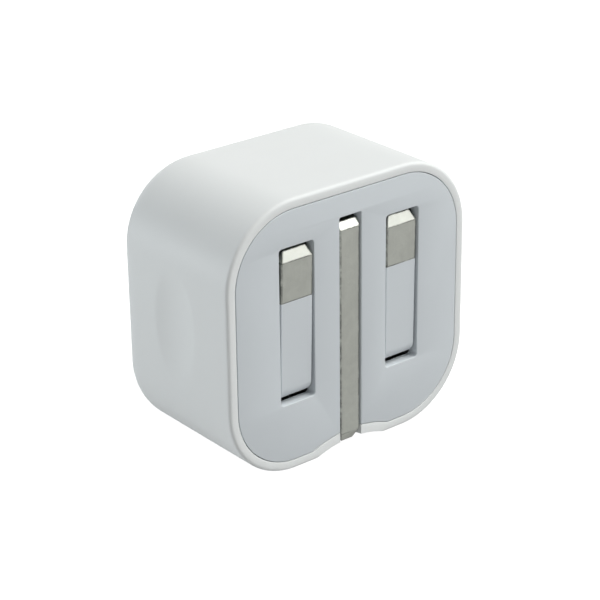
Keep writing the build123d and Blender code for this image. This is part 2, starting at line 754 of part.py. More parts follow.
with BuildPart() as contact_rivets:
    for side_sign in SIDES.values():
        rivet_x = side_sign * line_pin_x
        rod((contact_depth - rivet_head_height, contact_depth), rivet_x, rivet_height,
            rivet_head_radius)
        rod((contact_depth, terminal_back), rivet_x, rivet_height, rivet_radius)
        rod((terminal_back, terminal_back + rivet_head_height), rivet_x, rivet_height,
            rivet_head_radius)
save(contact_rivets.part, "contact_rivets")

# ---------------- Circuit board ----------------
with BuildPart() as main_board:
    with BuildSketch(face_plane(board_back)):
        rounded_face(wall + board_edge_gap)
        with Locations(*board_bosses):
            Circle(screw_radius + screw_clearance, mode=Mode.SUBTRACT)
    extrude(amount=board_thickness)
save(main_board.part, "main_board")

# Parts on the board stand on its front and reach towards the pin face.
transformer_x = 13.0
transformer_z = 34.4
transformer_size = 12.6
transformer_reach = 11.6
core_thickness = 2.6
core_half_height = 3.2
core_side = 1.3
winding_radius = 4.6
leg_radius = 2.4
bobbin_flange = 0.8
bobbin_wall = 0.7
bobbin_overhang = 0.3      # bobbin's flange beyond the winding
rail_half = 5.2
rail_gap = 0.2
capacitor_radius = 4.0
capacitor_reach = 11.4
capacitor_places = {"input_capacitor_1": (-13.6, 35.6), "input_capacitor_2": (-16.9, 26.2)}
output_capacitor_radius = 3.15
output_capacitor_reach = 8.0
output_capacitor_place = (12.4, 10.0)
inductor_radius = 3.0
inductor_reach = 7.0
inductor_place = (-12.4, 10.0)
inductor_flange = 1.0
inductor_waist = 0.6
can_round = 0.5
can_groove_place = 1.4
can_groove_width = 0.6
can_groove_depth = 0.35
score_half = 0.1
score_depth = 0.15
chip_chamfer = 0.2
lead_reach = 0.9
lead_share = 0.22          # half a lead's width, as a share of the pitch
lead_thickness = 0.3
fuse_x = (8.2, 14.8)
fuse_radius = 1.5
fuse_round = 0.4
fuse_standoff = 2.2
fuse_drop = 3.4            # below the top of the terminal block
fuse_lead_radius = 0.3
fuse_lead_reach = 1.6
fuse_lead_bend = 0.9
disc_x = (17.6, 20.0)
disc_z = 22.6
disc_radius = 3.4
disc_round = 0.8
disc_standoff = 0.8
disc_lead_step = 2.2
disc_lead_radius = 0.3
disc_lead_start = 1.5

core_back = board_front - solder_gap - bobbin_flange
core_front = core_back - transformer_reach
core_x = (transformer_x - transformer_size / 2, transformer_x + transformer_size / 2)
core_z = (transformer_z - transformer_size / 2, transformer_z + transformer_size / 2)

with BuildPart() as transformer_core:
    # square ring with a round middle leg, split by a hair between its two halves
    ring_z = (transformer_z - core_half_height, transformer_z + core_half_height)
    slab((core_front, core_back), core_x, ring_z)
    opening_depths = (core_front + core_thickness, core_back - core_thickness)
    opening_x = (core_x[0] + core_side, core_x[1] - core_side)
    slab(opening_depths, opening_x, core_z, Mode.SUBTRACT)
    rod(opening_depths, transformer_x, transformer_z, leg_radius)
    core_middle = (core_front + core_back) / 2
    slab((core_middle - fixed_gap, core_middle + fixed_gap), core_x, core_z, Mode.SUBTRACT)
save(transformer_core.part, "transformer_core")

with BuildPart() as transformer_bobbin:
    bobbin_depths = (opening_depths[0] + fixed_gap, opening_depths[1] - fixed_gap)
    rod(bobbin_depths, transformer_x, transformer_z, leg_radius + bobbin_wall)
    for flange_depths in (
        (bobbin_depths[0], bobbin_depths[0] + bobbin_flange),
        (bobbin_depths[1] - bobbin_flange, bobbin_depths[1]),
    ):
        rod(flange_depths, transformer_x, transformer_z, winding_radius + bobbin_overhang)
    # pin rails above and below the core, standing on the board
    rail_edge = core_half_height + rail_gap
    for rail_z in ((core_z[0], transformer_z - rail_edge), (transformer_z + rail_edge, core_z[1])):
        rail_x = (transformer_x - rail_half, transformer_x + rail_half)
        slab((bobbin_depths[1] - bobbin_flange, board_front), rail_x, rail_z)
    rod((core_front, core_back), transformer_x, transformer_z, leg_radius + fixed_gap,
        Mode.SUBTRACT)
save(transformer_bobbin.part, "transformer_bobbin")

with BuildPart() as transformer_winding:
    winding_depths = (
        bobbin_depths[0] + bobbin_flange + fixed_gap,
        bobbin_depths[1] - bobbin_flange - fixed_gap,
    )
    rod(winding_depths, transformer_x, transformer_z, winding_radius)
    winding_hole = leg_radius + bobbin_wall + fixed_gap
    rod(winding_depths, transformer_x, transformer_z, winding_hole, Mode.SUBTRACT)
save(transformer_winding.part, "transformer_winding")


def make_can(x, z, radius, reach):
    """Electrolytic capacitor: a can with a rolled groove and a scored top."""
    back = board_front - solder_gap
    with BuildPart() as can:
        rod((back - reach, back), x, z, radius)
        fillet(can.faces().sort_by(Axis.Y)[0].edges(), can_round)
        with BuildSketch(face_plane(back - can_groove_place)):
            with Locations((x, z)):
                Circle(radius + overcut)
                Circle(radius - can_groove_depth, mode=Mode.SUBTRACT)
        extrude(amount=can_groove_width, mode=Mode.SUBTRACT)
        score = (back - reach - overcut, back - reach + score_depth)
        for half_x, half_z in ((score_half, radius / 2), (radius / 2, score_half)):
            slab(score, (x - half_x, x + half_x), (z - half_z, z + half_z), Mode.SUBTRACT)
    return can.part


# the input capacitors stop short of the carrier's terminal block
can_reach = min(capacitor_reach, board_front - solder_gap - terminal_back - moving_gap)
for can_name, (can_x, can_z) in capacitor_places.items():
    save(make_can(can_x, can_z, capacitor_radius, can_reach), can_name)
save(
    make_can(*output_capacitor_place, output_capacitor_radius, output_capacitor_reach),
    "output_capacitor",
)

with BuildPart() as inductor:
    ind_x, ind_z = inductor_place
    ind_back = board_front - solder_gap
    ind_front = ind_back - inductor_reach
    rod((ind_front, ind_back), ind_x, ind_z, inductor_radius)
    with BuildSketch(face_plane(ind_back - inductor_flange)):
        with Locations((ind_x, ind_z)):
            Circle(inductor_radius + overcut)
            Circle(inductor_radius - inductor_waist, mode=Mode.SUBTRACT)
    extrude(amount=inductor_reach - 2 * inductor_flange, mode=Mode.SUBTRACT)
save(inductor.part, "inductor")


def make_chip(x, z, width, height, thickness, leads):
    """Moulded chip body with a row of leads along each upright side."""
    with BuildPart() as chip:
        x_span = (x - width / 2, x + width / 2)
        z_span = (z - height / 2, z + height / 2)
        body_back = board_front - solder_gap
        slab((body_back - thickness, body_back), x_span, z_span)
        chamfer(chip.faces().sort_by(Axis.Y)[0].edges(), chip_chamfer)
        pitch = height / leads
        for lead in range(leads):
            lead_z = z + (lead - (leads - 1) / 2) * pitch
            lead_span = (lead_z - lead_share * pitch, lead_z + lead_share * pitch)
            reach = (x_span[0] - lead_reach, x_span[1] + lead_reach)
            slab((board_front - lead_thickness, board_front), reach, lead_span)
    return chip.part


chips = {
    "bridge_rectifier": (-6.6, 27.2, 4.0, 4.7, 1.5, 2),
    "controller_chip": (-7.0, 19.5, 3.9, 4.9, 1.5, 4),
    "optocoupler": (2.2, 20.3, 4.6, 6.4, 3.4, 2),
    "output_diode": (10.8, 16.9, 4.2, 3.0, 2.1, 1),
}
for chip_name, chip_form in chips.items():
    save(make_chip(*chip_form), chip_name)

with BuildPart() as fuse_resistor:
    fuse_depth = board_front - fuse_standoff
    fuse_z = terminal_top - fuse_drop
    axle(fuse_x, fuse_depth, fuse_z, fuse_radius)
    fillet(fuse_resistor.edges().filter_by(GeomType.CIRCLE), fuse_round)
    with BuildLine() as fuse_lead:
        left, right = fuse_x[0] - fuse_lead_reach, fuse_x[1] + fuse_lead_reach
        FilletPolyline(
            (left, y_at(board_front), fuse_z),
            (left, y_at(fuse_depth), fuse_z),
            (right, y_at(fuse_depth), fuse_z),
            (right, y_at(board_front), fuse_z),
            radius=fuse_lead_bend,
        )
    with BuildSketch(Plane(origin=(left, y_at(board_front), fuse_z), z_dir=(0, -1, 0))):
        Circle(fuse_lead_radius)
    sweep(path=fuse_lead.wires()[0])
save(fuse_resistor.part, "fuse_resistor")

with BuildPart() as safety_capacitor:
    disc_depth = board_front - disc_radius - disc_standoff
    axle(disc_x, disc_depth, disc_z, disc_radius)
    fillet(safety_capacitor.edges().filter_by(GeomType.CIRCLE), disc_round)
    for lead_z in (disc_z - disc_lead_step, disc_z + disc_lead_step):
        lead_depths = (disc_depth + disc_lead_start, board_front)
        rod(lead_depths, sum(disc_x) / 2, lead_z, disc_lead_radius)
save(safety_capacitor.part, "safety_capacitor")

# ---------------- USB outlet ----------------
usb_half_width = usb_inner_width / 2
usb_half_height = usb_inner_height / 2
usb_front = usb_depth_place - usb_half_height
usb_rear = usb_depth_place + usb_half_height
tongue_back = usb_rear - tongue_back_gap
tongue_front = tongue_back - tongue_thickness
tongue_tip = usb_recess + tongue_recess
base_bottom = usb_top - usb_sheet - usb_base_length

with BuildPart() as usb_shell:
    outer_half = usb_outer_width / 2
    outer_depths = (usb_front - usb_sheet, usb_rear + usb_sheet)
    slab(outer_depths, (-outer_half, outer_half), (usb_recess, usb_top))
    fillet(usb_shell.edges().filter_by(Axis.Z), usb_corner_radius)
    inner_x = (-usb_half_width, usb_half_width)
    slab((usb_front, usb_rear), inner_x, (usb_recess - overcut, usb_top - usb_sheet), Mode.SUBTRACT)
    # legs soldered to the board
    for leg_side in (-1, 1):
        leg_x = sorted((leg_side * (outer_half - usb_sheet), leg_side * outer_half))
        for leg_z in usb_leg_heights:
            leg_span = (leg_z - usb_leg_half, leg_z + usb_leg_half)
            slab((usb_rear - usb_leg_overlap, board_front), leg_x, leg_span)
    # pressed spring tongues in the front and rear walls
    front_wall = (usb_front - overcut, usb_front + usb_spring_depth)
    rear_wall = (usb_rear - usb_spring_depth, usb_rear + overcut)
    slit_z = (usb_spring_low, usb_spring_high)
    end_z = (usb_spring_high, usb_spring_high + usb_slit)
    for wall_depths in (front_wall, rear_wall):
        for spring_x in (-usb_spring_x, usb_spring_x):
            left, right = spring_x - usb_spring_half, spring_x + usb_spring_half
            slab(wall_depths, (left, left + usb_slit), slit_z, Mode.SUBTRACT)
            slab(wall_depths, (right - usb_slit, right), slit_z, Mode.SUBTRACT)
            slab(wall_depths, (left, right), end_z, Mode.SUBTRACT)
    # way out for the contact tails
    window_x = (-usb_tail_window_half, usb_tail_window_half)
    slab(rear_wall, window_x, (base_bottom + usb_tail_window_margin, usb_top + overcut), Mode.SUBTRACT)
save(usb_shell.part, "usb_shell")

inner_step, outer_step = usb_contact_pitch
contact_x = [-inner_step / 2 - outer_step, -inner_step / 2, inner_step / 2,
             inner_step / 2 + outer_step]

with BuildPart() as usb_contacts:
    for x in contact_x:
        strip_x = (x - usb_contact_width / 2, x + usb_contact_width / 2)
        strip = (tongue_front - usb_contact_thickness / 2, tongue_front + usb_contact_thickness / 2)
        strip_top = base_bottom + usb_tail_height
        slab(strip, strip_x, (tongue_tip + usb_strip_start, strip_top))
        tail_x = (x - usb_tail_width / 2, x + usb_tail_width / 2)
        slab((strip[0], board_front), tail_x, (strip_top - usb_tail_thickness, strip_top))
save(usb_contacts.part, "usb_contacts")

with BuildPart() as usb_insulator:
    tongue_half = tongue_width / 2
    slab((tongue_front, tongue_back), (-tongue_half, tongue_half), (tongue_tip, base_bottom + usb_block_overlap))
    base_half = usb_half_width - fixed_gap
    base_z = (base_bottom, usb_top - usb_sheet - fixed_gap)
    slab((usb_front + fixed_gap, usb_rear - fixed_gap), (-base_half, base_half), base_z)
    block_x = (-usb_block_half, usb_block_half)
    block_z = (base_bottom + usb_block_margin, base_z[1])
    slab((usb_rear - usb_block_overlap, board_front), block_x, block_z)
    add(usb_contacts.part, mode=Mode.SUBTRACT)
save(usb_insulator.part, "usb_insulator")


# ---------------- Wires and insulation ----------------
def make_wire(side):
    """Wire from a contact's solder tab straight back, then over to the board's front."""
    x = side * line_pin_x
    z = terminal_top + tab_hole_height
    board_z = z - wire_drop
    core_end = y_at(contact_depth - wire_bare)
    start = y_at(terminal_front + wire_start)
    end = y_at(board_front)
    with BuildPart() as wire:
        with BuildLine() as route:
            FilletPolyline(
                (x, start, z),
                (x, start + wire_bend, z),
                (x, end - wire_bend, board_z),
                (x, end, board_z),
                radius=wire_bend,
            )
        with BuildSketch(Plane(origin=(x, start, z), z_dir=(0, 1, 0))):
            Circle(wire_radius)
        sweep(path=route.wires()[0])
        middle, length = span(core_end, start + wire_bare)
        with Locations((x, middle, z)):
            Cylinder(wire_core_radius, length, rotation=(90, 0, 0))
    return wire.part


for side_name, side_sign in SIDES.items():
    save(make_wire(side_sign), f"{side_name}_wire")

with BuildPart() as insulating_sheet:
    with BuildSketch(face_plane(cavity_back - sheet_wall_gap)):
        rounded_face(wall + inner_back_radius + sheet_margin)
        with Locations(*board_bosses):
            Circle(board_boss_radius + moving_gap, mode=Mode.SUBTRACT)
    extrude(amount=sheet_thickness)
save(insulating_sheet.part, "insulating_sheet")
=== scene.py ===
# %% [markdown]
# # A folding three-pin wall charger
# A moulded white case, a pale grey face plate with three slots, and three plated pins that lie
# folded in them. The engineering model is already packed with its true sizes and joints, so this
# lesson never guesses a place: it loads that model as a fixed frame and dresses it.
# We keep the frame's own box first.

# %% Load the frame
import json
import math
import bmesh
import bpy
from mathutils import Matrix, Vector


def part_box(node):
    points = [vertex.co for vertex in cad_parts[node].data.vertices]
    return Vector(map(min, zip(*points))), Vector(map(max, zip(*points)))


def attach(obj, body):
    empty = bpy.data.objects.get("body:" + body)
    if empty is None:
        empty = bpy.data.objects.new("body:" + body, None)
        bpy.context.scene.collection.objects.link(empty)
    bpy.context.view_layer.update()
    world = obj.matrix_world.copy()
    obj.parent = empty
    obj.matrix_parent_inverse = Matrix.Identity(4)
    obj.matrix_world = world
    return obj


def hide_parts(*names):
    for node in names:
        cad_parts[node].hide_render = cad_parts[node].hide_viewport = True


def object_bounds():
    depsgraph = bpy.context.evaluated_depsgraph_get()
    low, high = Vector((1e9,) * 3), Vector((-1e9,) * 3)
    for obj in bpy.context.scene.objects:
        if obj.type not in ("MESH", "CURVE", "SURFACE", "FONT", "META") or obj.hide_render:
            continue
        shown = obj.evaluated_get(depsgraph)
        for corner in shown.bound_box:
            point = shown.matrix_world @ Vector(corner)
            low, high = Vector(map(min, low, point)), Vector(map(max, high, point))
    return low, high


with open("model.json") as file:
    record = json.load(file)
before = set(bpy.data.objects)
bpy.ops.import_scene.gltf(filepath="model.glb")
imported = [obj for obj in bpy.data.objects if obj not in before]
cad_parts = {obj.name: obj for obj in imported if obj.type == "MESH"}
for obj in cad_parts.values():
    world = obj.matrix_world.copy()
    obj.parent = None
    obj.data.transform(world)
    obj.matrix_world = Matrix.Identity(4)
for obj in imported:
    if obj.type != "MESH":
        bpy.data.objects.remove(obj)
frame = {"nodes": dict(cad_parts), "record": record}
cad_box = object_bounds()
scene = bpy.context.scene
nodes = frame["nodes"]
print("nodes:", len(nodes), "box:", [list(corner) for corner in cad_box])

# %% [markdown]
# ## Camera
# The object is seen from its left, a little from above. A long lens keeps its upright edges
# nearly parallel, as in a product picture. We could aim a camera with a constraint, but a
# matrix made from three angles is easier to check, because each angle is one plain number.

# %% Place the camera
MM = 0.001
azimuth, elevation, roll = (math.radians(angle) for angle in (-38.83, 23.78, -0.786))
camera_distance = 0.33305
lens_mm = 119.29
shift_right, shift_up = 0.01277, -0.01842
nearest_seen = 0.01
aim = Vector((0, 0, (cad_box[0][2] + cad_box[1][2]) / 2))
back = Vector((
    math.sin(azimuth) * math.cos(elevation),
    -math.cos(azimuth) * math.cos(elevation),
    math.sin(elevation),
))
level_right = (-back).cross(Vector((0, 0, 1))).normalized()
level_up = level_right.cross(-back)
right = math.cos(roll) * level_right + math.sin(roll) * level_up
up = math.cos(roll) * level_up - math.sin(roll) * level_right
camera = bpy.data.objects.new("camera", bpy.data.cameras.new("camera"))
scene.collection.objects.link(camera)
turned = Matrix((right, up, back)).transposed().to_4x4()
turned.translation = aim + back * camera_distance
camera.matrix_world = turned
camera.data.lens = lens_mm
camera.data.shift_x = shift_right
camera.data.shift_y = shift_up
camera.data.clip_start = nearest_seen
scene.camera = camera
scene.view_settings.view_transform = "Standard"
print("camera at", [round(value, 4) for value in camera.location])

# %% [markdown]
# ## Studio light
# A white plastic box shows its shape only by small steps of brightness. So the light is a pale
# tent: a sky that is bright overhead and dark round the horizon, and six softboxes. The key, high
# at the front right, lifts the top face and leaves the pin face a little darker. A small one low
# behind the left side grazes it, and that is what makes its shallow grip oval visible. The pin
# card stands where the bevelled pin heads, which act as little mirrors, see it. An even sky alone
# would light every side alike, and the box would look flat.

# %% Sky: darker round the horizon, bright overhead
world = bpy.data.worlds.new("pale_tent")
world.use_nodes = True
scene.world = world
sky_wires = world.node_tree
sky = sky_wires.nodes["Background"]
horizon_light, zenith_light = 0.06, 0.28
steepness = 2.0
climb = sky_wires.nodes.new("ShaderNodeSeparateXYZ")
upward_look = sky_wires.nodes.new("ShaderNodeTexCoord")
sky_wires.links.new(upward_look.outputs["Generated"], climb.inputs[0])
steep = sky_wires.nodes.new("ShaderNodeMath")
steep.operation = "POWER"
sky_wires.links.new(climb.outputs["Z"], steep.inputs[0])
steep.inputs[1].default_value = steepness
fade = sky_wires.nodes.new("ShaderNodeMapRange")
fade.inputs["To Min"].default_value = horizon_light
fade.inputs["To Max"].default_value = zenith_light
sky_wires.links.new(steep.outputs[0], fade.inputs["Value"])
sky_wires.links.new(fade.outputs["Result"], sky.inputs["Strength"])
sky.inputs["Color"].default_value = (0.95, 0.98, 1.0, 1)
print("sky from", horizon_light, "to", zenith_light)


# %% Softboxes
def softbox(name, direction, distance, size, power, tint=(1.0, 1.0, 1.0)):
    """Area light, wide and high, that looks at the middle of the object."""
    lamp = bpy.data.lights.new(name, "AREA")
    lamp.shape = "RECTANGLE"
    lamp.size, lamp.size_y = size
    lamp.energy = power
    lamp.color = tint
    holder = bpy.data.objects.new(name, lamp)
    scene.collection.objects.link(holder)
    toward = Vector(direction).normalized()
    holder.location = aim + toward * distance
    holder.rotation_euler = (-toward).to_track_quat("-Z", "Y").to_euler()
    print(name, [round(value, 3) for value in holder.location], power, "W")


softbox("key_softbox", (0.5, -0.37, 0.79), 0.95, (0.8, 0.8), 10.3, (1.0, 1.0, 0.975))
softbox("right_softbox", (0.6, 0.05, 0.8), 0.6, (0.5, 0.5), 0.5)
softbox("left_softbox", (-0.76, 0.65, 0.0), 0.6, (0.2, 0.16), 2.5, (0.93, 0.98, 1.0))
softbox("front_left_card", (-0.7, -0.7, 0.05), 0.6, (0.3, 0.3), 0.48)
softbox("pin_card", (0.54, -0.77, 0.3), 0.6, (0.34, 0.26), 0.34)
softbox("rear_softbox", (0.35, 1.0, 0.08), 0.7, (0.5, 0.3), 1.0)

# %% [markdown]
# ## Floor
# The table is plain and nearly white. A little glow in its material fills the shade under the
# object, so that only a faint shadow is left where it stands.

# %% Lay the floor
floor_half = 2.0
floor_mesh = bpy.data.meshes.new("table")
floor_mesh.from_pydata(
    [(-floor_half, -floor_half, 0), (floor_half, -floor_half, 0),
     (floor_half, floor_half, 0), (-floor_half, floor_half, 0)],
    [], [(0, 1, 2, 3)],
)
floor = bpy.data.objects.new("table", floor_mesh)
scene.collection.objects.link(floor)
print("floor", floor.name)

# %% [markdown]
# ## A small bench for making nodes
# Node trees need many small steps: make a node, set it, wire it. `Bench` wraps one tree and gives
# each step a short name. It holds no looks of its own.


# %% Node bench
class Bench:
    """Makes and wires nodes in one node tree."""

    def __init__(self, tree):
        self.tree = tree

    def node(self, kind, **settings):
        """A new node of a kind, with its settings."""
        made = self.tree.nodes.new("ShaderNode" + kind)
        for key, value in settings.items():
            setattr(made, key, value)
        return made

    def feed(self, socket, value):
        """Wire another socket into this one, or set a plain value."""
        if isinstance(value, bpy.types.NodeSocket):
            self.tree.links.new(value, socket)
        else:
            socket.default_value = value

    def math(self, operation, *values, clamp=False):
        """Result of one sum on sockets or numbers."""
        made = self.node("Math", operation=operation, use_clamp=clamp)
        for socket, value in zip(made.inputs, values):
            self.feed(socket, value)
        return made.outputs[0]

    def place(self, stretch=(1, 1, 1), turn=(0, 0, 0)):
        """Object coordinates in millimetres, stretched along each axis."""
        source = self.node("TexCoord").outputs["Object"]
        mapping = self.node("Mapping")
        mapping.inputs["Scale"].default_value = [factor / MM for factor in stretch]
        mapping.inputs["Rotation"].default_value = turn
        self.feed(mapping.inputs["Vector"], source)
        return mapping.outputs[0]

    def noise(self, place, size, detail=2.0, roughness=0.5, distortion=0.0):
        """Noise whose lumps are about size millimetres across."""
        made = self.node("TexNoise")
        self.feed(made.inputs["Vector"], place)
        self.feed(made.inputs["Scale"], self.math("DIVIDE", 1.0, size))
        made.inputs["Detail"].default_value = detail
        made.inputs["Roughness"].default_value = roughness
        made.inputs["Distortion"].default_value = distortion
        return made.outputs["Fac"]

    def step(self, value, low, high):
        """Soft step from 0 at low to 1 at high."""
        made = self.node("MapRange", interpolation_type="SMOOTHSTEP")
        self.feed(made.inputs["Value"], value)
        self.feed(made.inputs["From Min"], low)
        self.feed(made.inputs["From Max"], high)
        return made.outputs["Result"]

    def span(self, value, low, high):
        """Value from 0..1 laid out between low and high."""
        made = self.node("MapRange")
        self.feed(made.inputs["Value"], value)
        made.inputs["To Min"].default_value = low
        made.inputs["To Max"].default_value = high
        return made.outputs["Result"]

    def mix(self, share, first, second):
        """Colour between two colours."""
        made = self.node("Mix", data_type="RGBA")
        self.feed(made.inputs["Factor"], share)
        for label, colour in (("A", first), ("B", second)):
            socket = next(s for s in made.inputs if s.name == label and s.type == "RGBA")
            if not isinstance(colour, bpy.types.NodeSocket):
                colour = (*colour, 1.0)
            self.feed(socket, colour)
        return next(s for s in made.outputs if s.type == "RGBA")


def new_group(name, inputs, outputs):
    """Empty shader group with named number sockets: (bench, inputs, outputs)."""
    tree = bpy.data.node_groups.new(name, "ShaderNodeTree")
    for label, value in inputs.items():
        socket = tree.interface.new_socket(label, in_out="INPUT", socket_type="NodeSocketFloat")
        socket.default_value = value
    for label in outputs:
        tree.interface.new_socket(label, in_out="OUTPUT", socket_type="NodeSocketFloat")
    entry = tree.nodes.new("NodeGroupInput")
    leave = tree.nodes.new("NodeGroupOutput")
    return Bench(tree), entry.outputs, leave.inputs


print("bench ready")

# %% [markdown]
# ## Shared effects as node groups
# Real surfaces share a few habits. Mouldings carry a faint ripple and the grain of the mould.
# Corners are rubbed, and on the pins the same edge mask carries painted dark edges, a painted reflection.
# Hands leave hairlines. Dust settles on what faces up. Metal is blotchy.
# Each habit is one group, built once, with its sizes in millimetres as inputs, so that every
# material can wear it in its own measure.

# %% Moulded skin: slow ripple and fine grain
bench, given, out = new_group(
    "moulded_skin", {"Ripple Size": 9.0, "Grain Size": 0.22, "Grain Share": 0.3},
    ("Height", "Tone"),
)
ripple = bench.noise(bench.place(), given["Ripple Size"], 2.0, 0.45)
grain = bench.noise(bench.place(turn=(0.4, 0.7, 0.2)), given["Grain Size"], 3.0, 0.6)
slow_part = bench.math("MULTIPLY", ripple, bench.math("SUBTRACT", 1.0, given["Grain Share"]))
bench.feed(out["Height"], bench.math("MULTIPLY_ADD", grain, given["Grain Share"], slow_part))
cloud = bench.noise(bench.place(turn=(1.1, 0.3, 0.8)), given["Ripple Size"], 4.0, 0.55)
cloud_part = bench.math("MULTIPLY", cloud, 0.75)
bench.feed(out["Tone"], bench.math("MULTIPLY_ADD", grain, 0.25, cloud_part))
print("group moulded_skin")

# %% Edge mask for rubbed wear and for painted edge shade: where a rounded normal leaves the flat one
bench, given, out = new_group(
    "edge_wear_and_shade", {"Radius mm": 0.2, "Low": 0.02, "High": 0.2}, ("Mask",)
)
bevel = bench.node("Bevel", samples=6)
bench.feed(bevel.inputs["Radius"], bench.math("MULTIPLY", given["Radius mm"], MM))
flat = bench.node("NewGeometry").outputs["Normal"]
agree = bench.node("VectorMath", operation="DOT_PRODUCT")
bench.feed(agree.inputs[0], bevel.outputs[0])
bench.feed(agree.inputs[1], flat)
turned_away = bench.math("SUBTRACT", 1.0, agree.outputs["Value"])
edge = bench.step(turned_away, given["Low"], given["High"])
patchy = bench.step(bench.noise(bench.place(), 1.4, 3.0, 0.6), 0.25, 0.6)
bench.feed(out["Mask"], bench.math("MULTIPLY", edge, patchy))
print("group edge_wear_and_shade")

# %% Hairlines: thin broken scratches in two directions
bench, given, out = new_group("hairlines", {"Spacing": 1.2, "Amount": 0.5}, ("Mask",))
sets = []
for stretch, turn in (((0.06, 1.0, 1.0), (0.2, 0.5, 0.9)), ((1.0, 0.07, 1.0), (0.9, 0.1, 0.4))):
    thread = bench.noise(bench.place(stretch, turn), given["Spacing"], 1.0, 0.5, 0.15)
    off_middle = bench.math("ABSOLUTE", bench.math("SUBTRACT", thread, 0.5))
    sets.append(bench.math("SUBTRACT", 1.0, bench.step(off_middle, 0.0, 0.007)))
both = bench.math("MAXIMUM", *sets)
broken = bench.step(bench.noise(bench.place(), 5.0, 2.0, 0.5), 0.5, 0.62)
pieces_left = bench.math("MULTIPLY", both, broken)
bench.feed(out["Mask"], bench.math("MULTIPLY", pieces_left, given["Amount"]))
print("group hairlines")

# %% Settled dust: specks and haze on what faces up
bench, given, out = new_group("settled_dust", {"Amount": 0.3}, ("Mask",))
facing = bench.node("SeparateXYZ")
bench.feed(facing.inputs[0], bench.node("TexCoord").outputs["Normal"])
upward = bench.step(facing.outputs["Z"], 0.3, 1.0)
haze = bench.step(bench.noise(bench.place(), 6.0, 4.0, 0.6), 0.35, 0.75)
specks = bench.step(bench.noise(bench.place(), 0.35, 1.0, 0.4), 0.72, 0.78)
dusty = bench.math("MAXIMUM", bench.math("MULTIPLY", haze, 0.35), specks)
lying = bench.math("MULTIPLY", dusty, upward)
bench.feed(out["Mask"], bench.math("MULTIPLY", lying, given["Amount"]))
print("group settled_dust")

# %% Metal blotches: tarnish clouds and a fine stamped grain
bench, given, out = new_group(
    "metal_blotches", {"Cloud Size": 1.6, "Grain Size": 0.16}, ("Tone", "Height")
)
cloud = bench.noise(bench.place(), given["Cloud Size"], 5.0, 0.62, 0.4)
grain = bench.noise(bench.place(turn=(0.3, 0.9, 0.5)), given["Grain Size"], 3.0, 0.65)
drawn = bench.noise(bench.place(stretch=(1.0, 1.0, 0.08)), given["Grain Size"], 2.0, 0.5)
fine = bench.math("MULTIPLY_ADD", drawn, 0.4, bench.math("MULTIPLY", grain, 0.6))
fine_part = bench.math("MULTIPLY", fine, 0.4)
bench.feed(out["Tone"], bench.math("MULTIPLY_ADD", cloud, 0.6, fine_part))
bench.feed(out["Height"], fine)
print("group metal_blotches")

# %% Wound turns: the rounded ridges of wire or tape laid side by side
bench, given, out = new_group("wound_turns", {"Pitch": 0.3}, ("Height", "Tone"))
height_only = bench.node("SeparateXYZ")
bench.feed(height_only.inputs[0], bench.place())
turns = bench.math("DIVIDE", height_only.outputs["Z"], given["Pitch"])
wave = bench.math("SINE", bench.math("MULTIPLY", turns, math.pi))
bench.feed(out["Height"], bench.math("ABSOLUTE", wave))
each_turn = bench.node("TexWhiteNoise", noise_dimensions="1D")
bench.feed(each_turn.inputs["W"], bench.math("FLOOR", turns))
bench.feed(out["Tone"], each_turn.outputs["Value"])
print("group wound_turns")

# %% [markdown]
# ## Finishes
# One function starts every finish: it makes a Principled shader, sets the numbers that stay the
# same all over on the shader's own sockets, and hands back the bench. `place_group` drops a
# shared effect in with its own values. Plastics and metals then differ in what they wear.


# %% Helpers for finishes
dust_colour = (0.62, 0.60, 0.56)


def new_finish(name, **constants):
    """Material with a Principled shader: (material, bench, shader)."""
    finish = bpy.data.materials.new(name)
    finish.use_nodes = True
    shader = finish.node_tree.nodes["Principled BSDF"]
    for label, value in constants.items():
        shader.inputs[label.replace("_", " ")].default_value = value
    return finish, Bench(finish.node_tree), shader


def place_group(bench, name, **values):
    """A shared effect in this material, with this material's own values."""
    made = bench.tree.nodes.new("ShaderNodeGroup")
    made.node_tree = bpy.data.node_groups[name]
    for label, value in values.items():
        made.inputs[label.replace("_", " ")].default_value = value
    return made.outputs


def raise_surface(bench, shader, height, distance):
    """Bump of a given height in millimetres on the shader's normal."""
    bump = bench.node("Bump")
    bump.inputs["Distance"].default_value = distance * MM
    bump.inputs["Strength"].default_value = 1.0
    bench.feed(bump.inputs["Height"], height)
    bench.feed(shader.inputs["Normal"], bump.outputs[0])


def scaled(colour, factor):
    """The same colour, lighter or darker."""
    return tuple(min(1.0, channel * factor) for channel in colour)


def moulding(name, colour, shine, spread=0.05, ripple=9.0, grain=0.22, grain_share=0.3,
             depth=0.01, rub=0.06, dust=0.25, hairs=0.4, **constants):
    """A moulded plastic: cloudy tone, mould grain, rubbed edges, hairlines and dust."""
    finish, bench, shader = new_finish(name, **constants)
    skin = place_group(
        bench, "moulded_skin", Ripple_Size=ripple, Grain_Size=grain, Grain_Share=grain_share
    )
    rubbed = place_group(bench, "edge_wear_and_shade", Radius_mm=0.25)
    hairs_mask = place_group(bench, "hairlines", Amount=hairs)
    dust_mask = place_group(bench, "settled_dust", Amount=dust)
    body = bench.mix(skin["Tone"], scaled(colour, 1 - spread), scaled(colour, 1 + spread))
    worn = bench.mix(bench.math("MULTIPLY", rubbed["Mask"], rub), body, scaled(colour, 1.25))
    dusty = bench.mix(dust_mask["Mask"], worn, dust_colour)
    bench.feed(shader.inputs["Base Color"], dusty)
    gloss = bench.span(skin["Tone"], shine * 0.85, shine * 1.15)
    gloss = bench.math("MULTIPLY_ADD", hairs_mask["Mask"], 0.18, gloss)
    gloss = bench.math("MULTIPLY_ADD", dust_mask["Mask"], 0.4, gloss, clamp=True)
    bench.feed(shader.inputs["Roughness"], gloss)
    raise_surface(bench, shader, skin["Height"], depth)
    return finish


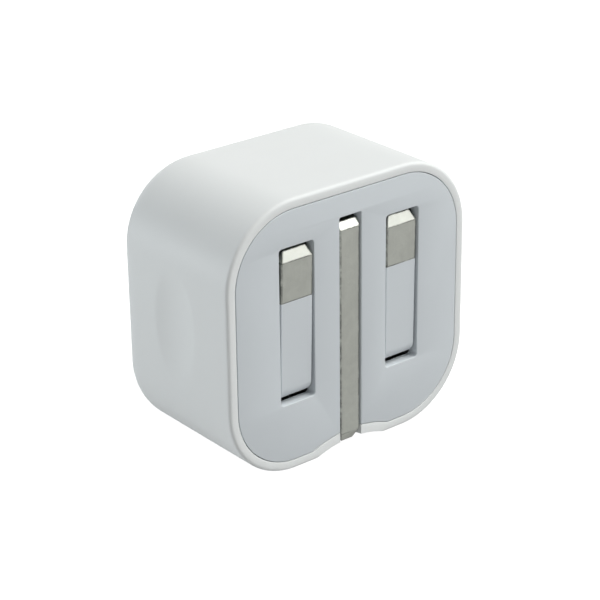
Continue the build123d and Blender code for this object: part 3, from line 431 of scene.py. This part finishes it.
def metal(name, colour, shine, spread=0.1, cloud=1.6, grain=0.16, depth=0.004,
          edge_width=0.1, edge_wear_and_shade_tone=1.2, **constants):
    """A metal: tarnish clouds, a fine grain, and edges of another tone: lighter ones are wear, darker
    ones are a painted reflection.
    """
    finish, bench, shader = new_finish(name, Metallic=1.0, **constants)
    blotch = place_group(bench, "metal_blotches", Cloud_Size=cloud, Grain_Size=grain)
    rubbed = place_group(bench, "edge_wear_and_shade", Radius_mm=edge_width, Low=0.001, High=0.012)
    hairs = place_group(bench, "hairlines", Spacing=0.8, Amount=0.6)
    body = bench.mix(blotch["Tone"], scaled(colour, 1 - spread), scaled(colour, 1 + spread))
    # An edge tone above one lightens the edges as rubbed wear; below one it paints them dark, a painted
    # reflection.
    edges_worn_and_shaded = bench.mix(rubbed["Mask"], body, scaled(colour, edge_wear_and_shade_tone))
    bench.feed(shader.inputs["Base Color"], edges_worn_and_shaded)
    gloss = bench.span(blotch["Tone"], shine * 0.8, shine * 1.2)
    gloss = bench.math("MULTIPLY_ADD", hairs["Mask"], 0.12, gloss, clamp=True)
    bench.feed(shader.inputs["Roughness"], gloss)
    raise_surface(bench, shader, blotch["Height"], depth)
    return finish


print("finish helpers ready")

# %% [markdown]
# ## The finishes that show
# The case is white ABS with a soft sheen and a slow mould ripple. The plate and the sleeves are a satin
# grey polycarbonate, spark-eroded to a fine even grain. The pins are nickel-plated brass with a
# dull stamped surface, and their edges are painted darker than the flats: a painted reflection of the
# slot.

# %% Case, plate and pins
finishes = {}
finishes["white_shell"] = moulding(
    "case_white", (0.78, 0.80, 0.80), 0.5, spread=0.012, ripple=11.0, grain=0.3, grain_share=0.12,
    depth=0.012, rub=0.3, dust=0.06, hairs=0.3, Specular_IOR_Level=0.25,
)
finishes["grey_plastic"] = moulding(
    "plate_grey", (0.62, 0.66, 0.69), 0.5, spread=0.02, ripple=7.0, grain=0.16, grain_share=0.5,
    depth=0.008, rub=0.5, dust=0.08, hairs=0.3,
)
# The edge tone of 0.1 paints the pin edges nearly black: a painted reflection of the dark slot, not wear.
finishes["nickel_brass"] = metal(
    "pin_nickel", (0.60, 0.615, 0.565), 0.3, spread=0.24, cloud=2.0, grain=0.2, depth=0.014,
    edge_width=0.3, edge_wear_and_shade_tone=0.1,
)
print("shown finishes:", sorted(finishes))

# %% [markdown]
# ## The finishes inside
# What is behind the plate shows through the open slots when the pins swing out, and through the
# outlet's mouth below. Each material follows what such parts are bought as: glass-filled nylon,
# natural acetal, spring steel, brass, green board, ferrite, resin, enamel wire and tape.

# %% Mechanism plastics and metals
finishes["dark_nylon"] = moulding(
    "carrier_nylon", (0.045, 0.047, 0.05), 0.62, spread=0.3, grain=0.1, grain_share=0.6, rub=0.25
)
finishes["acetal"] = moulding("slider_acetal", (0.72, 0.72, 0.68), 0.42, spread=0.04, ripple=4.0, rub=0.2)
finishes["steel"] = metal("drawn_steel", (0.60, 0.61, 0.62), 0.3, spread=0.12, edge_wear_and_shade_tone=1.3)
finishes["brass"] = metal("sheet_brass", (0.76, 0.57, 0.27), 0.32, spread=0.15, edge_wear_and_shade_tone=1.15)
finishes["gold_contact"] = metal("gold_flash", (0.88, 0.67, 0.28), 0.18, spread=0.08, edge_wear_and_shade_tone=1.05)
finishes["aluminium_can"] = metal("can_aluminium", (0.76, 0.77, 0.78), 0.26, spread=0.07, edge_wear_and_shade_tone=1.1)
print("mechanism finishes:", len(finishes))

# %% Electronics plastics
finishes["black_resin"] = moulding(
    "chip_resin", (0.03, 0.03, 0.032), 0.6, spread=0.35, ripple=2.0, grain=0.08,
    grain_share=0.7, rub=0.15,
)
finishes["white_resin"] = moulding(
    "ceramic_white", (0.80, 0.80, 0.77), 0.5, spread=0.04, ripple=2.5, grain=0.12
)
finishes["capacitor_sleeve"] = moulding(
    "shrink_sleeve", (0.05, 0.06, 0.12), 0.35, spread=0.2, ripple=3.0, grain=0.2, depth=0.03
)
finishes["blue_ceramic"] = moulding(
    "disc_blue", (0.06, 0.2, 0.55), 0.22, spread=0.18, ripple=2.0, depth=0.04, Coat_Weight=0.4
)
finishes["brown_wire"] = moulding("wire_brown", (0.22, 0.09, 0.04), 0.45, spread=0.15, ripple=3.0)
finishes["blue_wire"] = moulding("wire_blue", (0.05, 0.16, 0.5), 0.45, spread=0.15, ripple=3.0)
finishes["ferrite"] = moulding(
    "ferrite_grey", (0.09, 0.09, 0.092), 0.7, spread=0.35, ripple=1.2, grain=0.12,
    grain_share=0.8, depth=0.03, rub=0.5,
)
finishes["clear_film"] = moulding(
    "barrier_film", (0.78, 0.76, 0.66), 0.2, spread=0.05, ripple=6.0, depth=0.05
)
print("electronics finishes:", len(finishes))

# %% [markdown]
# ### Three finishes with a pattern of their own
# Green solder resist shows the copper tracks under it as paler lanes. Polyester tape shows the
# edge of each wrap. The body of a fusible resistor carries plain colour bands.

# %% Board, tape and resistor
board, bench, shader = new_finish("board_green", Coat_Roughness=0.15)
skin = place_group(bench, "moulded_skin", Ripple_Size=3.0, Grain_Size=0.15)
tracks = bench.node("TexBrick", offset=0.37, squash=0.6, squash_frequency=3)
bench.feed(tracks.inputs["Vector"], bench.place(turn=(math.pi / 2, 0, 0)))
track_sizes = {
    "Scale": 0.32, "Mortar Size": 0.09, "Mortar Smooth": 0.2, "Brick Width": 1.1, "Row Height": 0.42,
}
for label, value in track_sizes.items():
    tracks.inputs[label].default_value = value
lane = bench.math("SUBTRACT", 1.0, tracks.outputs["Fac"])
resist = bench.mix(skin["Tone"], (0.012, 0.085, 0.035), (0.02, 0.12, 0.05))
bench.feed(shader.inputs["Base Color"], bench.mix(lane, resist, (0.05, 0.26, 0.11)))
bench.feed(shader.inputs["Roughness"], bench.span(skin["Tone"], 0.22, 0.42))
bench.feed(shader.inputs["Coat Weight"], bench.span(lane, 0.3, 0.6))
raise_surface(bench, shader, lane, 0.04)
finishes["circuit_board"] = board

tape, bench, shader = new_finish("tape_yellow")
wraps = place_group(bench, "wound_turns", Pitch=2.4)
skin = place_group(bench, "moulded_skin", Ripple_Size=2.0, Grain_Size=0.3)
film = bench.mix(skin["Tone"], (0.72, 0.52, 0.05), (0.88, 0.70, 0.12))
bench.feed(shader.inputs["Base Color"], film)
bench.feed(shader.inputs["Roughness"], bench.span(wraps["Tone"], 0.25, 0.4))
raise_surface(bench, shader, bench.math("ADD", wraps["Height"], skin["Height"]), 0.05)
finishes["yellow_tape"] = tape

resistor, bench, shader = new_finish("resistor_green")
bands = place_group(bench, "wound_turns", Pitch=1.3)
skin = place_group(bench, "moulded_skin", Ripple_Size=1.5, Grain_Size=0.2)
lacquer = bench.mix(skin["Tone"], (0.12, 0.30, 0.2), (0.2, 0.42, 0.3))
banded = bench.mix(bench.step(bands["Tone"], 0.6, 0.65), lacquer, (0.1, 0.08, 0.06))
bench.feed(shader.inputs["Base Color"], banded)
bench.feed(shader.inputs["Roughness"], bench.span(skin["Tone"], 0.3, 0.5))
raise_surface(bench, shader, skin["Height"], 0.05)
finishes["fuse_body"] = resistor
print("all finishes:", len(finishes))

# %% [markdown]
# ## Dress the engineering nodes
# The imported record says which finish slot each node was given, so the dressing is a lookup.
# The table gets its own pale finish here too.

# %% Give each node its finish
slot_of = {row["node"]: row["material_slot"] for row in frame["record"]["subparts"]}
for name, piece in nodes.items():
    piece.data.materials.clear()
    piece.data.materials.append(finishes[slot_of[name]])
print("dressed", len(slot_of), "nodes")

floor_glow, floor_seen = 0.24, 0.97
table_top, bench, shader = new_finish("table_white")
skin = place_group(bench, "moulded_skin", Ripple_Size=60.0, Grain_Size=1.0)
paint = bench.mix(skin["Tone"], (0.24, 0.24, 0.24), (0.26, 0.26, 0.26))
glow = bench.mix(skin["Tone"], (0.98, 0.98, 0.98), (1.0, 1.0, 1.0))
bench.feed(shader.inputs["Base Color"], paint)
bench.feed(shader.inputs["Emission Color"], glow)
bench.feed(shader.inputs["Roughness"], bench.span(skin["Tone"], 0.8, 0.95))
seen = bench.node("LightPath").outputs["Is Camera Ray"]
bench.feed(shader.inputs["Emission Strength"], bench.span(seen, floor_glow, floor_seen))
floor.data.materials.append(table_top)
print("table finish", table_top.name)

# %% [markdown]
# ## The case
# The case is one deep moulding: a rounded square tube, closed at the back by a generous round
# and open at the front, where a lip stands round the face plate. Its bottom edge lifts into a
# finger scoop under the earth pin, and each side sinks into a shallow oval for the grip.
# A boolean of plain solids would give the shape, but with a hard crease round each oval. So the
# skin is lofted instead: one outline is repeated from front to back and inwards again through
# the pocket and the cavity, with the same number of points each time, and the sides are pressed
# in by a smooth function. Only the two windows and the screw bosses are booleans.

# %% Sizes of the case
case_low, case_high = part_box("outer_shell")
half_width = case_high.x / MM
case_height = case_high.z / MM
case_depth = (case_high.y - case_low.y) / MM
front_y = case_low.y / MM
corner_radius = 13.4
lip_width = 1.65
wall = 2.2
back_wall = 1.7
pocket_depth = 2.0
cavity_depth = case_depth - back_wall
front_round, back_round, inner_round, lip_round = 0.6, 4.8, 2.6, 0.12
scoop_half, scoop_height, scoop_length = 7.8, 1.6, 9.0
scoop_radius = (scoop_half ** 2 + scoop_height ** 2) / (2 * scoop_height)
no_scoop = -9.0                # a rise so low that the arch never meets the outline
end_steps, arch_steps, corner_steps, side_steps = 6, 30, 18, 30
bottom_count = 2 * end_steps + arch_steps
print("case", round(2 * half_width, 3), round(case_height, 3), round(case_depth, 3))
print("scoop radius", round(scoop_radius, 3))


# %% One outline of the case
def arch_at(x, rise, margin):
    """Height of the scoop's arch at x."""
    reach = scoop_radius + margin
    return rise - scoop_radius + math.sqrt(max(reach ** 2 - x ** 2, 0.0))


def bottom_points(inset, rise, margin):
    """Points of the bottom edge from left to right, lifted over the scoop."""
    straight = half_width - corner_radius
    drop = inset - (rise - scoop_radius)
    edge = 0.0
    if rise > no_scoop:
        edge = math.sqrt(max((scoop_radius + margin) ** 2 - drop ** 2, 0.0))
    edge = min(max(edge, 4.0), straight - 1.0)
    xs = [-straight + (straight - edge) * i / end_steps for i in range(end_steps)]
    xs += [-edge + 2 * edge * i / arch_steps for i in range(arch_steps)]
    xs += [edge + (straight - edge) * i / end_steps for i in range(end_steps)]
    return [(x, max(inset, arch_at(x, rise, margin))) for x in xs]


def outline(inset, rise=no_scoop, margin=0.0):
    """Case outline drawn inwards by an inset, anticlockwise from the bottom left."""
    straight = half_width - corner_radius
    radius = corner_radius - inset
    ring = bottom_points(inset, rise, margin)
    corners = (
        (straight, corner_radius, -90), (straight, case_height - corner_radius, 0),
        (-straight, case_height - corner_radius, 90), (-straight, corner_radius, 180),
    )
    for turn, (x, z, start) in enumerate(corners):
        for i in range(corner_steps):
            angle = math.radians(start + 90 * i / corner_steps)
            ring.append((x + radius * math.cos(angle), z + radius * math.sin(angle)))
        if turn == 3:
            break
        upright = case_height - 2 * corner_radius
        reach = (upright, 2 * straight, upright)[turn]
        along = ((0, 1), (-1, 0), (0, -1))[turn]
        angle = math.radians(start + 90)
        from_x, from_z = x + radius * math.cos(angle), z + radius * math.sin(angle)
        for i in range(side_steps):
            share = reach * i / side_steps
            ring.append((from_x + along[0] * share, from_z + along[1] * share))
    return ring


print("points in an outline:", len(outline(0)))

# %% [markdown]
# The grip oval is a shallow bowl, less than a millimetre deep. A bowl alone ends in a crease, and a
# moulder would not leave one. A soft maximum joins bowl and wall with a small round.

# %% Press the grip ovals
grip_depth, grip_height, grip_sink = 14.0, 24.5, 0.7
grip_half_width, grip_half_length, grip_softness = 5.25, 9.5, 0.022


def grip_press(depth, z):
    """How far the side wall is pressed in at this place."""
    bowl = 1 - ((depth - grip_depth) / grip_half_width) ** 2 - ((z - grip_height) / grip_half_length) ** 2
    raised = max(min(bowl * grip_sink / grip_softness, 60), -60)
    return grip_softness * math.log1p(math.exp(raised))


print("press at the middle:", round(grip_press(grip_depth, grip_height), 3))


# %% Loft the skin
def scoop_rise(depth):
    """Top of the scoop at this depth: it fades out inwards."""
    return scoop_height * (1 - depth / scoop_length)


def case_rings():
    """(depth, inset, rise, margin, outside) of each ring, from the lip inwards and round."""
    rings = []
    for i in range(7):
        turn = math.radians(90 - 15 * i)
        depth = front_round * (1 - math.sin(turn))
        rings.append((depth, front_round * (1 - math.cos(turn)), scoop_rise(depth), 0.0, True))
    depths = [1.2, 2, 3, 4, 5, 6, 6.8] + [7.4 + 0.5 * i for i in range(28)]
    depths += [22, 23, 24, case_depth - back_round]
    for depth in depths:
        rings.append((depth, 0.0, scoop_rise(depth), 0.0, True))
    for i in range(1, 13):
        turn = math.radians(7.5 * i)
        depth = case_depth - back_round * (1 - math.sin(turn))
        rings.append((depth, back_round * (1 - math.cos(turn)), no_scoop, 0.0, True))
    inner = [(0.0, lip_width - lip_round)]
    for turn in (math.radians(30 * i) for i in (1, 2, 3)):
        inner.append((lip_round * (1 - math.cos(turn)), lip_width - lip_round * (1 - math.sin(turn))))
    inner += [(pocket_depth, lip_width)]
    pocket = [(depth, inset, scoop_height, inset, False) for depth, inset in inner]
    hollow = [(pocket_depth, wall), (8, wall), (16, wall), (cavity_depth - inner_round, wall)]
    for i in range(1, 9):
        turn = math.radians(11.25 * i)
        depth = cavity_depth - inner_round * (1 - math.sin(turn))
        hollow.append((depth, wall + inner_round * (1 - math.cos(turn))))
    return rings, pocket + [(depth, inset, no_scoop, 0.0, False) for depth, inset in hollow]


def add_ring(mesh, depth, inset, rise, margin, outside):
    """Vertices of one outline at its depth."""
    made = []
    for x, z in outline(inset, rise, margin):
        if outside and abs(x) > half_width - 3:
            x -= math.copysign(grip_press(depth, z), x)
        made.append(mesh.verts.new((x * MM, (front_y + depth) * MM, z * MM)))
    return made


def bridge(mesh, first, second):
    """Quads between two rings of the same count."""
    count = len(first)
    for i in range(count):
        j = (i + 1) % count
        mesh.faces.new((first[i], second[i], second[j], first[j]))


mesh = bmesh.new()
outer, inner = case_rings()
outer_loops = [add_ring(mesh, *ring) for ring in outer]
inner_loops = [add_ring(mesh, *ring) for ring in inner]
for first, second in zip(outer_loops, outer_loops[1:]):
    bridge(mesh, first, second)
for first, second in zip(inner_loops, inner_loops[1:]):
    bridge(mesh, second, first)
bridge(mesh, inner_loops[0], outer_loops[0])
mesh.faces.new(outer_loops[-1][::-1])
mesh.faces.new(inner_loops[-1])
bmesh.ops.recalc_face_normals(mesh, faces=mesh.faces)
print("skin:", len(mesh.verts), "points", len(mesh.faces), "faces")


# %% Tools for joining and cutting
def to_object(name, mesh, finish):
    """Object from a bmesh, with its finish; the bmesh is used up."""
    data = bpy.data.meshes.new(name)
    mesh.to_mesh(data)
    mesh.free()
    data.materials.append(finish)
    piece = bpy.data.objects.new(name, data)
    scene.collection.objects.link(piece)
    return piece


def block(name, low, high, roundness=0.0):
    """Box between two corners in millimetres; its upright edges can be rounded."""
    mesh = bmesh.new()
    bmesh.ops.create_cube(mesh, size=1.0)
    for vertex in mesh.verts:
        vertex.co = [(low[k] + (high[k] - low[k]) * (vertex.co[k] + 0.5)) * MM for k in range(3)]
    if roundness:
        upright = [edge for edge in mesh.edges if abs(edge.verts[0].co.z - edge.verts[1].co.z) > MM]
        bmesh.ops.bevel(
            mesh, geom=upright, offset=roundness * MM, segments=6, affect="EDGES", profile=0.5
        )
    return to_object(name, mesh, finishes["white_shell"])


def peg(name, x, z, near, far, radius):
    """Round bar along the depth of the case, in millimetres."""
    mesh = bmesh.new()
    middle = Matrix.Translation((x * MM, (front_y + (near + far) / 2) * MM, z * MM))
    bmesh.ops.create_cone(
        mesh, cap_ends=True, segments=40, radius1=radius * MM, radius2=radius * MM,
        depth=(far - near) * MM, matrix=middle @ Matrix.Rotation(math.pi / 2, 4, "X"),
    )
    return to_object(name, mesh, finishes["white_shell"])


def combine(piece, others, operation):
    """Boolean of a piece with others, applied to its mesh; the others are used up."""
    for other in others:
        modifier = piece.modifiers.new("boolean", "BOOLEAN")
        modifier.operation = operation
        modifier.solver = "EXACT"
        modifier.object = other
    bpy.context.view_layer.update()
    shaped = piece.evaluated_get(bpy.context.evaluated_depsgraph_get())
    finished = bpy.data.meshes.new_from_object(shaped)
    piece.modifiers.clear()
    piece.data = finished
    for other in others:
        bpy.data.objects.remove(other)
    return piece


def smooth(piece, degrees=30):
    """Smooth shading, with creases kept sharp."""
    piece.data.shade_smooth()
    piece.data.set_sharp_from_angle(angle=math.radians(degrees))


print("joining tools ready")

# %% Cut the windows and add the bosses
case = to_object("case_shell", mesh, finishes["white_shell"])
bosses = ((-18.5, 12.5), (18.5, 12.5), (0.0, 40.0))
boss_radius, boss_length = 2.1, 2.5
screw_hole_radius = 0.67
board_back = cavity_depth - boss_length
boss_end = cavity_depth + back_wall / 2
combine(case, [peg("boss", x, z, board_back, boss_end, boss_radius) for x, z in bosses], "UNION")
outlet_low, outlet_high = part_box("usb_shell")
outlet_gap = 0.15
outlet = block(
    "outlet_window",
    (outlet_low.x / MM - outlet_gap, outlet_low.y / MM - outlet_gap, -1),
    (outlet_high.x / MM + outlet_gap, outlet_high.y / MM + outlet_gap, wall + 1), 0.35,
)
notch_half, notch_length = 2.3, 8.5
tip_notch = block(
    "tip_notch", (-notch_half, front_y - 1, -1), (notch_half, front_y + notch_length, 2 * wall)
)
holes = [peg("hole", x, z, board_back - 1, cavity_depth, screw_hole_radius) for x, z in bosses]
combine(case, [outlet, tip_notch] + holes, "DIFFERENCE")
smooth(case)
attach(case, "case")
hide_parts("outer_shell")
print("case:", len(case.data.vertices), "points", len(case.data.polygons), "faces")

# %% [markdown]
# ## The face plate
# The plate is flat, so its outline tells it all: a rounded square with an arch at the bottom and
# three slots. A filled 2-D curve takes such an outline with its holes, and its bevel rolls every
# edge over by a tenth of a millimetre, which is what catches the light round the slots. The same
# outline function as the case's keeps the dark line between plate and lip even all the way round.

# %% Sizes of the plate
plate_gap = 0.12
plate_inset = lip_width + plate_gap
plate_thickness = pocket_depth
edge_roll = 0.1
slot_centres = (-11.1, 11.1)
slot_half_width, slot_low, slot_high, slot_round = 3.55, 12.0, 39.3, 0.6
earth_slot_half, earth_slot_top, earth_slot_round = 2.3, 41.5, 0.15
plate_low, plate_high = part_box("face_plate")
print("plate box", [round(value / MM, 2) for value in (*plate_low, *plate_high)])


# %% Draw the outlines and fill them
def rounded_slot(x, low, high, half, radius):
    """Closed outline of a slot, clockwise, as a hole."""
    ring = []
    for cx, cz, start in (
        (x + half - radius, high - radius, 0), (x - half + radius, high - radius, 90),
        (x - half + radius, low + radius, 180), (x + half - radius, low + radius, 270),
    ):
        for i in range(7):
            angle = math.radians(start + 15 * i)
            ring.append((cx + radius * math.cos(angle), cz + radius * math.sin(angle)))
    return ring[::-1]


def plate_outline():
    """Edge of the plate, with the earth slot open at the bottom."""
    ring = outline(plate_inset, scoop_height, plate_inset)
    foot = arch_at(earth_slot_half, scoop_height, plate_inset)
    left = [(x, z) for x, z in ring[:bottom_count] if x < -earth_slot_half - 0.05]
    right = [(x, z) for x, z in ring[:bottom_count] if x > earth_slot_half + 0.05]
    half, top, radius = earth_slot_half, earth_slot_top, earth_slot_round
    slot = [
        (-half, foot), (-half, top - radius), (-half + radius, top),
        (half - radius, top), (half, top - radius), (half, foot),
    ]
    return left + slot + right + ring[bottom_count:]


def filled(name, rings, thickness, roll):
    """Flat plate from outlines, drawn in X and Z, with rolled edges."""
    curve = bpy.data.curves.new(name, "CURVE")
    curve.dimensions = "2D"
    curve.fill_mode = "BOTH"
    for ring in rings:
        spline = curve.splines.new("POLY")
        spline.points.add(len(ring) - 1)
        for point, (x, z) in zip(spline.points, ring):
            point.co = (x * MM, z * MM, 0, 1)
        spline.use_cyclic_u = True
    curve.extrude = (thickness / 2 - roll) * MM
    curve.bevel_depth = roll * MM
    curve.bevel_resolution = 3
    curve.offset = -roll * MM
    drawn = bpy.data.objects.new(name, curve)
    scene.collection.objects.link(drawn)
    bpy.context.view_layer.update()
    shaped = drawn.evaluated_get(bpy.context.evaluated_depsgraph_get())
    data = bpy.data.meshes.new_from_object(shaped)
    bpy.data.objects.remove(drawn)
    middle = Matrix.Translation((0, (front_y + thickness / 2) * MM, 0))
    data.transform(middle @ Matrix.Rotation(math.pi / 2, 4, "X"))
    return data


slots = [rounded_slot(x, slot_low, slot_high, slot_half_width, slot_round) for x in slot_centres]
mesh = bmesh.new()
mesh.from_mesh(filled("plate", [plate_outline()] + slots, plate_thickness, edge_roll))
weld_distance = 0.0005 * MM
bmesh.ops.remove_doubles(mesh, verts=mesh.verts, dist=weld_distance)
bmesh.ops.recalc_face_normals(mesh, faces=mesh.faces)
open_edges = [edge for edge in mesh.edges if not edge.is_manifold]
print("plate:", len(mesh.verts), "points", len(mesh.faces), "faces, open edges", len(open_edges))

# %% Fit the plate
plate = to_object("pin_face_plate", mesh, finishes["grey_plastic"])
pillars = [(side * 18.2, z) for side in (-1, 1) for z in (12.9, 35.4)]
pillar_radius, pillar_end = 1.9, 6.0
combine(plate, [peg("pillar", x, z, 1.0, pillar_end, pillar_radius) for x, z in pillars], "UNION")
screw_holes = [peg("hole", x, z, 2.0, pillar_end + 1, screw_hole_radius) for x, z in pillars]
combine(plate, screw_holes, "DIFFERENCE")
smooth(plate, 40)
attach(plate, "case")
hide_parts("face_plate")
low, high = [Vector(corner) / MM for corner in (plate.bound_box[0], plate.bound_box[6])]
print("plate piece:", [round(value, 3) for value in (*low, *high)], len(plate.data.polygons), "faces")

# %% [markdown]
# ## Pins and sleeves
# The pins keep their engineering shape, because every flat and bevel of it is already right.
# What a real one adds is that no edge is sharp: a weld joins the faces, then a fine bevel rounds
# each crease by less than a tenth of a millimetre.

# %% Round the edges of pins and sleeves
def round_edges(name, width, degrees=25, segments=2):
    """Weld and bevel modifiers on an engineering node."""
    piece = nodes[name]
    weld = piece.modifiers.new("weld", "WELD")
    weld.merge_threshold = weld_distance
    bevel = piece.modifiers.new("edge_round", "BEVEL")
    bevel.width = width * MM
    bevel.segments = segments
    bevel.limit_method = "ANGLE"
    bevel.angle_limit = math.radians(degrees)
    bevel.harden_normals = True


pin_round, sleeve_round = 0.09, 0.08
for name in ("live_pin", "neutral_pin", "earth_pin"):
    round_edges(name, pin_round)
for name in ("live_sleeve", "neutral_sleeve"):
    round_edges(name, sleeve_round)
print("rounded pins by", pin_round, "mm and sleeves by", sleeve_round, "mm")
